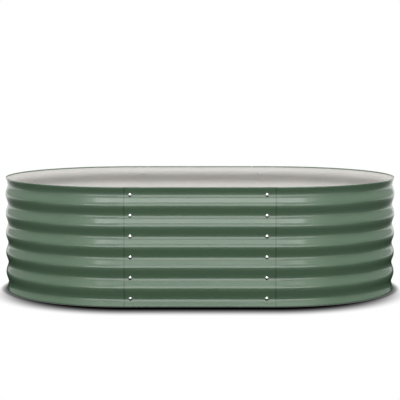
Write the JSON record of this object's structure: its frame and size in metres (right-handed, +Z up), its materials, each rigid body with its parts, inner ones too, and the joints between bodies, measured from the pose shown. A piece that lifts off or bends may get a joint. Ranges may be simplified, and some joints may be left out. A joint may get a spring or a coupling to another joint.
{
  "type": "raised garden bed",
  "caption": "Oval raised garden bed of bolted corrugated steel panels, green outside and off-white inside, open at the top and the bottom.",
  "frame": {"origin": "middle of the bed's outline, on the ground", "axes": "+X along the bed's long side, +Y from front to back, +Z up"},
  "size_m": [1.4058, 0.902, 0.404],
  "materials": {
    "painted_panel": "satin",
    "bolt_steel": "polished",
    "washer_steel": "satin",
    "nut_steel": "satin"
  },
  "bodies": {
    "root": {"front_flat_panel": "painted_panel", "back_flat_panel": "painted_panel", "front_left_curved_panel": "painted_panel", "front_right_curved_panel": "painted_panel", "back_left_curved_panel": "painted_panel", "back_right_curved_panel": "painted_panel", "front_left_bolts": "bolt_steel", "front_left_washers": "washer_steel", "front_left_nuts": "nut_steel", "front_right_bolts": "bolt_steel", "front_right_washers": "washer_steel", "front_right_nuts": "nut_steel", "back_left_bolts": "bolt_steel", "back_left_washers": "washer_steel", "back_left_nuts": "nut_steel", "back_right_bolts": "bolt_steel", "back_right_washers": "washer_steel", "back_right_nuts": "nut_steel", "left_end_bolts": "bolt_steel", "left_end_washers": "washer_steel", "left_end_nuts": "nut_steel", "right_end_bolts": "bolt_steel", "right_end_washers": "washer_steel", "right_end_nuts": "nut_steel"}
  },
  "joints": []
}
